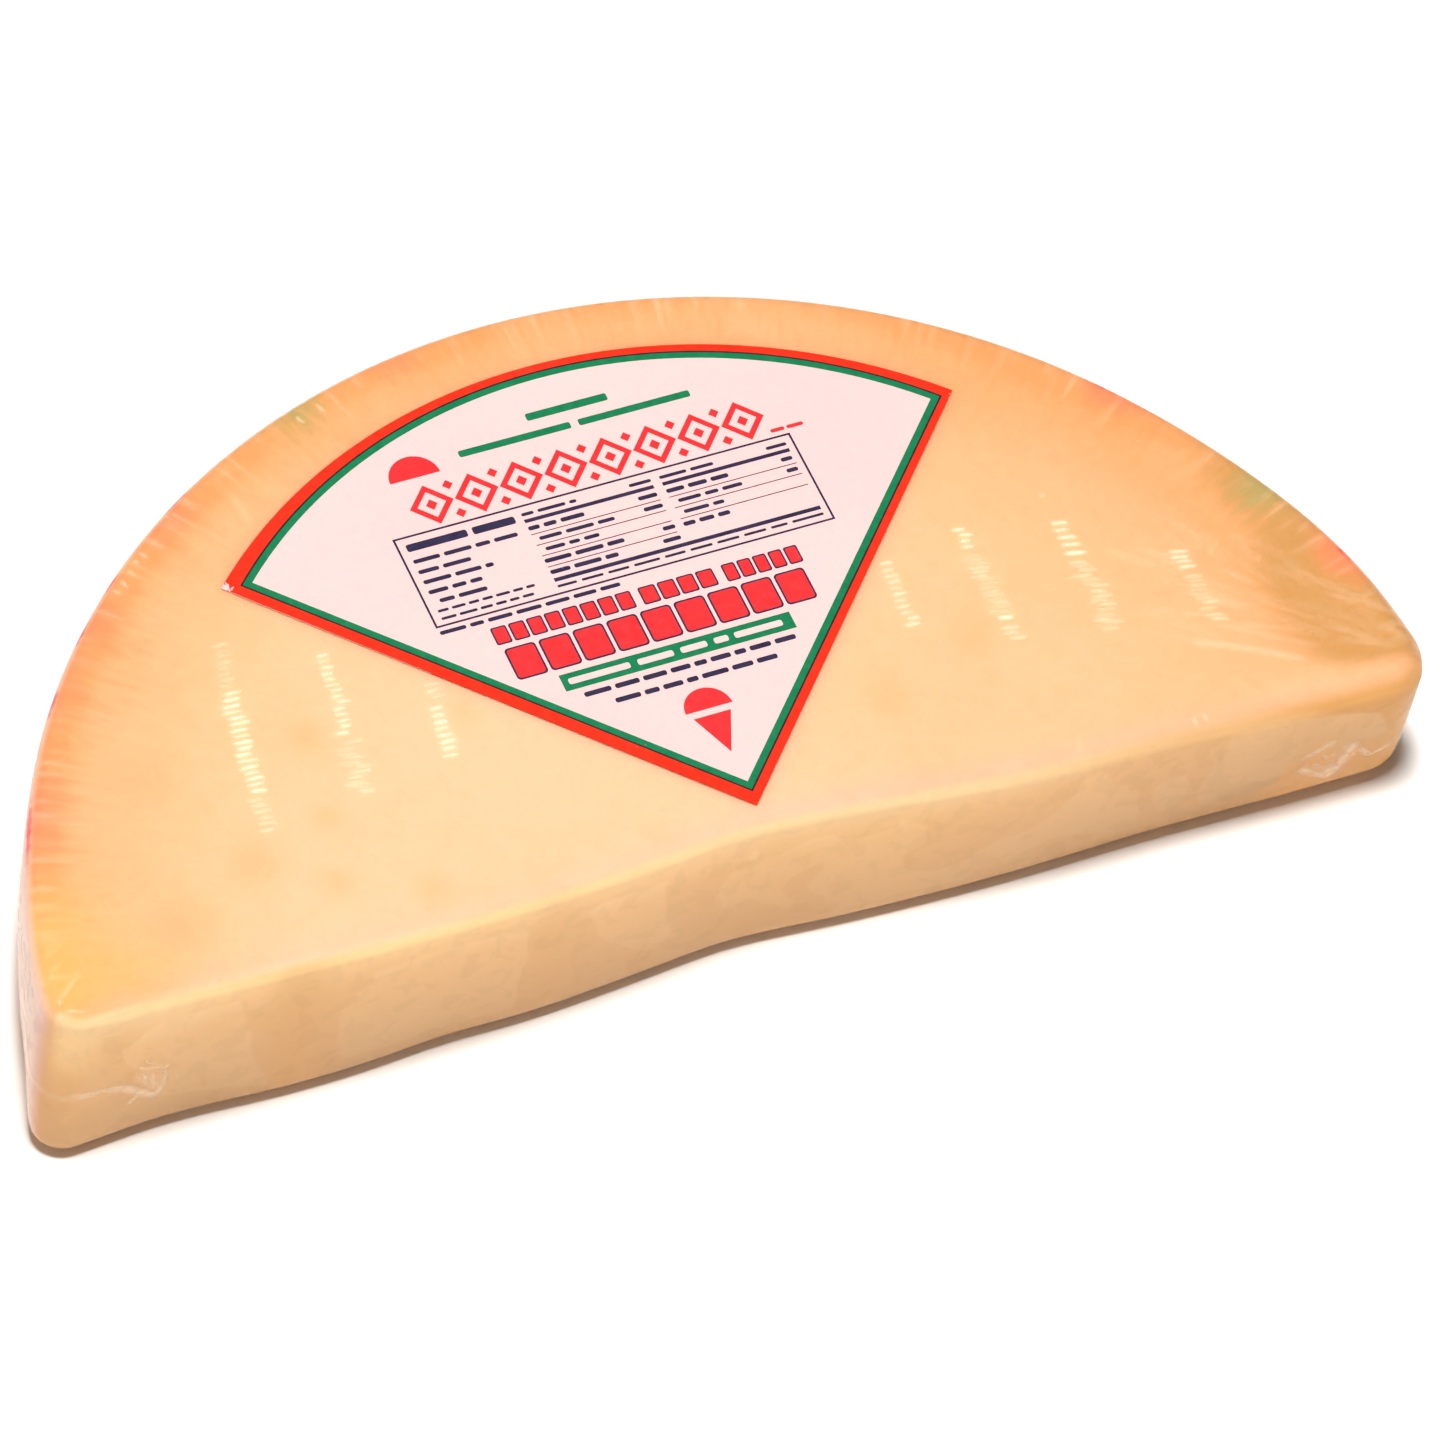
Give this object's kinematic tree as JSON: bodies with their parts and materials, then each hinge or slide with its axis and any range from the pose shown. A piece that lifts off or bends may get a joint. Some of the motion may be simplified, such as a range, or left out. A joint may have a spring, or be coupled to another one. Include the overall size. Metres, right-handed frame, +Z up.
{
  "type": "film-wrapped half-moon slab of provolone cheese",
  "caption": "Half-moon slab of aged cheese cut from a large round wheel, vacuum sealed in clear film, with a quarter-round paper label on its flat top.",
  "frame": {"origin": "middle of the box of the whole slab, on the flat bottom face it rests on", "axes": "+X along the straight cut face, towards the thinner end of the slab; +Y from the cut face towards the round rind; +Z up"},
  "size_m": [0.3068, 0.1484, 0.0467],
  "materials": {
    "cheese": "waxy pale butter-yellow cheese, amber towards its rind",
    "film": "thin clear shrink film, glossy, finely wrinkled",
    "label_paper": "smooth off-white coated paper",
    "label_print": "flat red, green and navy printing ink"
  },
  "bodies": {
    "root": {"wrapped_cheese": "cheese", "label": "label_paper"}
  },
  "joints": []
}
